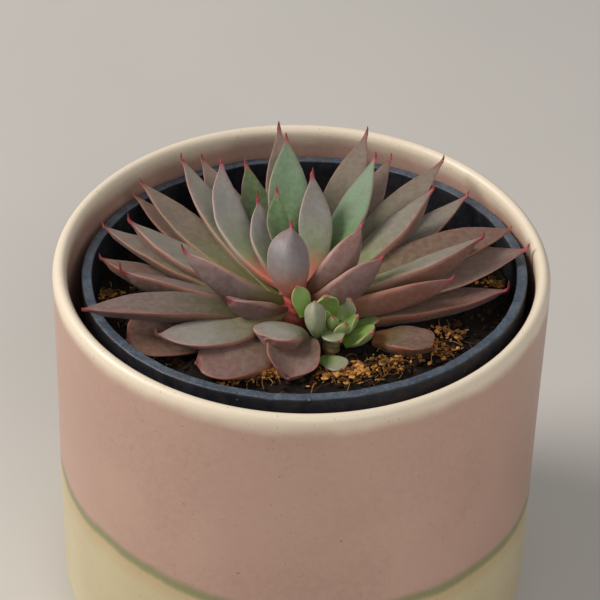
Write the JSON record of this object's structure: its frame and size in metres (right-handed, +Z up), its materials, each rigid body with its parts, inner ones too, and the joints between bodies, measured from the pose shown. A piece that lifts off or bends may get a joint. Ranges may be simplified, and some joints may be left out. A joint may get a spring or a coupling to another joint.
{
  "type": "potted succulent",
  "caption": "Leaf rosette of a succulent with a small offset at its side, growing in soil in a thin plastic nursery pot that stands inside a straight glazed cachepot",
  "frame": {"origin": "on the cachepot's axis, in the plane of the face it stands on", "axes": "+Z up along the cachepot's axis; -Y is the front, the side of the rosette where the offset grows; +X is to the right seen from the front"},
  "size_m": [0.096, 0.096, 0.097],
  "materials": {
    "glaze": "satin",
    "dark_plastic": "matte",
    "peat": "matte",
    "stem_skin": "matte",
    "heart_leaf_skin": "satin",
    "middle_leaf_skin": "satin",
    "outer_leaf_skin": "satin",
    "offset_leaf_skin": "satin"
  },
  "bodies": {
    "root": {"cachepot": "glaze", "nursery_pot": "dark_plastic", "soil": "peat", "rosette_stem": "stem_skin", "offset_stem": "stem_skin", "heart_leaf_01": "heart_leaf_skin", "heart_leaf_02": "heart_leaf_skin", "heart_leaf_03": "heart_leaf_skin", "heart_leaf_04": "heart_leaf_skin", "heart_leaf_05": "heart_leaf_skin", "heart_leaf_06": "heart_leaf_skin", "heart_leaf_07": "heart_leaf_skin", "heart_leaf_08": "heart_leaf_skin", "middle_leaf_01": "middle_leaf_skin", "middle_leaf_02": "middle_leaf_skin", "middle_leaf_03": "middle_leaf_skin", "middle_leaf_04": "middle_leaf_skin", "middle_leaf_05": "middle_leaf_skin", "middle_leaf_06": "middle_leaf_skin", "middle_leaf_07": "middle_leaf_skin", "middle_leaf_08": "middle_leaf_skin", "middle_leaf_09": "middle_leaf_skin", "middle_leaf_10": "middle_leaf_skin", "middle_leaf_11": "middle_leaf_skin", "outer_leaf_01": "outer_leaf_skin", "outer_leaf_02": "outer_leaf_skin", "outer_leaf_03": "outer_leaf_skin", "outer_leaf_04": "outer_leaf_skin", "outer_leaf_05": "outer_leaf_skin", "outer_leaf_06": "outer_leaf_skin", "outer_leaf_07": "outer_leaf_skin", "outer_leaf_08": "outer_leaf_skin", "outer_leaf_09": "outer_leaf_skin", "outer_leaf_10": "outer_leaf_skin", "outer_leaf_11": "outer_leaf_skin", "outer_leaf_12": "outer_leaf_skin", "outer_leaf_13": "outer_leaf_skin", "outer_leaf_14": "outer_leaf_skin", "outer_leaf_15": "outer_leaf_skin", "outer_leaf_16": "outer_leaf_skin", "outer_leaf_17": "outer_leaf_skin", "outer_leaf_18": "outer_leaf_skin", "offset_leaf_01": "offset_leaf_skin", "offset_leaf_02": "offset_leaf_skin", "offset_leaf_03": "offset_leaf_skin", "offset_leaf_04": "offset_leaf_skin", "offset_leaf_05": "offset_leaf_skin", "offset_leaf_06": "offset_leaf_skin", "offset_leaf_07": "offset_leaf_skin", "offset_leaf_08": "offset_leaf_skin", "offset_leaf_09": "offset_leaf_skin", "offset_leaf_10": "offset_leaf_skin", "offset_leaf_11": "offset_leaf_skin", "offset_leaf_12": "offset_leaf_skin", "offset_leaf_13": "offset_leaf_skin"}
  },
  "joints": []
}
